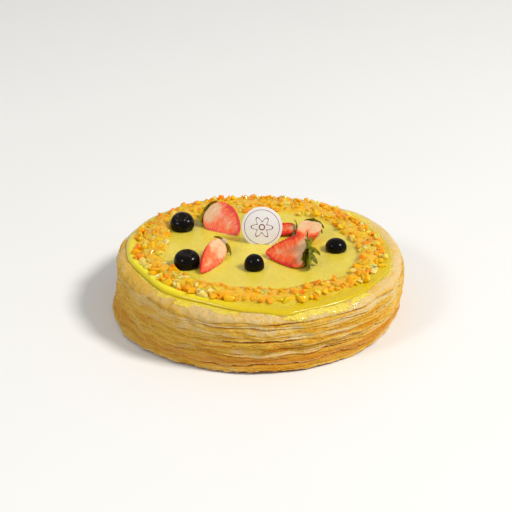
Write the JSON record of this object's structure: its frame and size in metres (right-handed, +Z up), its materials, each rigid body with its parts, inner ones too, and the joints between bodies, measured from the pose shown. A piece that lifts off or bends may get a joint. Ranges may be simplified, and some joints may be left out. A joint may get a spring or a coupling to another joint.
{
  "type": "crepe cake",
  "caption": "Round layered crepe cake with a thin fruit glaze, a ring of chopped fruit, berries, cut strawberries and a plain round badge.",
  "frame": {"origin": "centre of the underside, on the surface that the cake stands on", "axes": "+Z up through the layers; +Y from the front of the cake to its back; +X to the right seen from the front"},
  "size_m": [0.203, 0.2036, 0.067],
  "materials": {
    "crepe": "soft matte, browned in patches",
    "glaze": "wet gloss",
    "blueberry": "gloss",
    "strawberry": "moist satin",
    "leaf": "satin",
    "badge": "smooth satin"
  },
  "bodies": {
    "root": {"crepe_1": "crepe", "crepe_2": "crepe", "crepe_3": "crepe", "crepe_4": "crepe", "crepe_5": "crepe", "crepe_6": "crepe", "crepe_7": "crepe", "crepe_8": "crepe", "crepe_9": "crepe", "glaze": "glaze", "blueberry_1": "blueberry", "blueberry_2": "blueberry", "blueberry_3": "blueberry", "blueberry_4": "blueberry", "strawberry_1": "strawberry", "strawberry_2": "strawberry", "strawberry_3": "strawberry", "strawberry_4": "strawberry", "strawberry_5": "strawberry", "strawberry_leaves_1": "leaf", "strawberry_leaves_2": "leaf", "strawberry_leaves_3": "leaf", "strawberry_leaves_4": "leaf", "strawberry_leaves_5": "leaf", "badge": "badge"}
  },
  "joints": []
}
